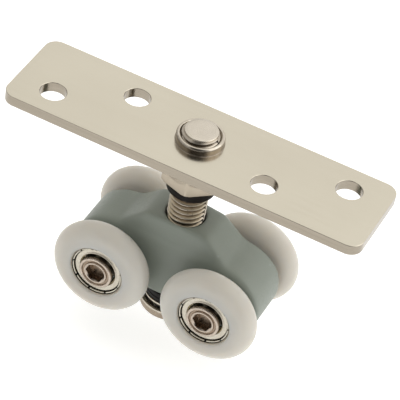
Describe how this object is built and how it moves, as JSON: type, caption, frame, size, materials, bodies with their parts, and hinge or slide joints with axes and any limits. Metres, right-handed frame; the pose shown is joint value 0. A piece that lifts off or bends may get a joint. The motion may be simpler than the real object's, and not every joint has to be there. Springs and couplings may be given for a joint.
{
  "type": "sliding door roller",
  "caption": "Top-hung sliding door roller: nylon wheels on bearings in a swivelling cast carriage, hung on a threaded bolt that screws into a mounting plate.",
  "frame": {"origin": "on the hanger bolt's axis, in the plane of the mounting plate's door-side face", "axes": "+X along the plate and the track, +Z along the bolt out of the plate's door-side face, so the carriage is on the -Z side"},
  "size_m": [0.1, 0.0334, 0.0604],
  "materials": {
    "plate_nickel": "satin nickel plate, fine brushing along the plate",
    "bush_nickel": "satin nickel plate",
    "collar_black": "black nylon, satin",
    "bolt_nickel": "bright nickel plate, rolled thread",
    "race_steel": "ground steel",
    "cage_dark": "dark moulded cage",
    "ball_steel": "polished steel balls",
    "bush_acetal": "black acetal",
    "cast_grey": "fine grey-green powder paint on a zinc casting",
    "nylon_white": "milky white nylon, semi-matt",
    "bearing_steel": "ground bearing steel",
    "cage_brass": "pressed sheet cage",
    "shield_steel": "pressed sheet steel",
    "snap_steel": "spring steel",
    "axle_nickel": "nickel plated steel",
    "spacer_steel": "turned steel"
  },
  "bodies": {
    "plate": {"mounting_plate": "plate_nickel", "threaded_bush": "bush_nickel", "lock_collar": "collar_black"},
    "lift": {"lower_race": "race_steel"},
    "bolt": {"hanger_bolt": "bolt_nickel"},
    "carriage": {"carriage_body": "cast_grey", "pivot_bush": "bush_acetal", "upper_race": "race_steel", "axle_screw_fl": "axle_nickel", "axle_screw_fr": "axle_nickel", "axle_screw_rl": "axle_nickel", "axle_screw_rr": "axle_nickel", "inner_race_fl": "bearing_steel", "inner_race_fr": "bearing_steel", "inner_race_rl": "bearing_steel", "inner_race_rr": "bearing_steel", "spacer_fl": "spacer_steel", "spacer_fr": "spacer_steel", "spacer_rl": "spacer_steel", "spacer_rr": "spacer_steel"},
    "thrust_cage": {"thrust_cage": "cage_dark", "thrust_balls": "ball_steel"},
    "wheel_fl": {"wheel_fl": "nylon_white", "outer_race_fl": "bearing_steel", "shield_fl": "shield_steel", "back_shield_fl": "shield_steel", "snap_ring_fl": "snap_steel"},
    "cage_fl": {"ball_cage_fl": "cage_brass", "balls_fl": "ball_steel"},
    "wheel_fr": {"wheel_fr": "nylon_white", "outer_race_fr": "bearing_steel", "shield_fr": "shield_steel", "back_shield_fr": "shield_steel", "snap_ring_fr": "snap_steel"},
    "cage_fr": {"ball_cage_fr": "cage_brass", "balls_fr": "ball_steel"},
    "wheel_rl": {"wheel_rl": "nylon_white", "outer_race_rl": "bearing_steel", "shield_rl": "shield_steel", "back_shield_rl": "shield_steel", "snap_ring_rl": "snap_steel"},
    "cage_rl": {"ball_cage_rl": "cage_brass", "balls_rl": "ball_steel"},
    "wheel_rr": {"wheel_rr": "nylon_white", "outer_race_rr": "bearing_steel", "shield_rr": "shield_steel", "back_shield_rr": "shield_steel", "snap_ring_rr": "snap_steel"},
    "cage_rr": {"ball_cage_rr": "cage_brass", "balls_rr": "ball_steel"}
  },
  "joints": [
    {"name": "height_adjust", "type": "slide", "parent": "plate", "child": "lift", "axis": [0, 0, 1], "range_m": [-0.0045, 0.0075]},
    {"name": "bolt_turn", "type": "hinge", "parent": "lift", "child": "bolt", "pos_m": [0, 0, 0], "axis": [0, 0, 1], "range_deg": [-1090, 1810]},
    {"name": "carriage_swivel", "type": "hinge", "parent": "lift", "child": "carriage", "pos_m": [0, 0, -0.0423], "axis": [0, 0, 1], "continuous": true},
    {"name": "thrust_cage_spin", "type": "hinge", "parent": "lift", "child": "thrust_cage", "pos_m": [0, 0, -0.0423], "axis": [0, 0, 1], "continuous": true},
    {"name": "wheel_spin_fl", "type": "hinge", "parent": "carriage", "child": "wheel_fl", "pos_m": [-0.01565, -0.0136, -0.0423], "axis": [0, 1, 0], "continuous": true},
    {"name": "cage_spin_fl", "type": "hinge", "parent": "carriage", "child": "cage_fl", "pos_m": [-0.01565, -0.0136, -0.0423], "axis": [0, 1, 0], "continuous": true},
    {"name": "wheel_spin_fr", "type": "hinge", "parent": "carriage", "child": "wheel_fr", "pos_m": [0.01565, -0.0136, -0.0423], "axis": [0, 1, 0], "continuous": true},
    {"name": "cage_spin_fr", "type": "hinge", "parent": "carriage", "child": "cage_fr", "pos_m": [0.01565, -0.0136, -0.0423], "axis": [0, 1, 0], "continuous": true},
    {"name": "wheel_spin_rl", "type": "hinge", "parent": "carriage", "child": "wheel_rl", "pos_m": [-0.01565, 0.0136, -0.0423], "axis": [0, 1, 0], "continuous": true},
    {"name": "cage_spin_rl", "type": "hinge", "parent": "carriage", "child": "cage_rl", "pos_m": [-0.01565, 0.0136, -0.0423], "axis": [0, 1, 0], "continuous": true},
    {"name": "wheel_spin_rr", "type": "hinge", "parent": "carriage", "child": "wheel_rr", "pos_m": [0.01565, 0.0136, -0.0423], "axis": [0, 1, 0], "continuous": true},
    {"name": "cage_spin_rr", "type": "hinge", "parent": "carriage", "child": "cage_rr", "pos_m": [0.01565, 0.0136, -0.0423], "axis": [0, 1, 0], "continuous": true}
  ],
  "couplings": [
    {"joint": "bolt_turn", "follows": "height_adjust", "rad_per_m": 4188.8},
    {"joint": "thrust_cage_spin", "follows": "carriage_swivel", "ratio": 0.5},
    {"joint": "cage_spin_fl", "follows": "wheel_spin_fl", "ratio": 0.61333},
    {"joint": "cage_spin_fr", "follows": "wheel_spin_fr", "ratio": 0.61333},
    {"joint": "cage_spin_rl", "follows": "wheel_spin_rl", "ratio": 0.61333},
    {"joint": "cage_spin_rr", "follows": "wheel_spin_rr", "ratio": 0.61333}
  ]
}
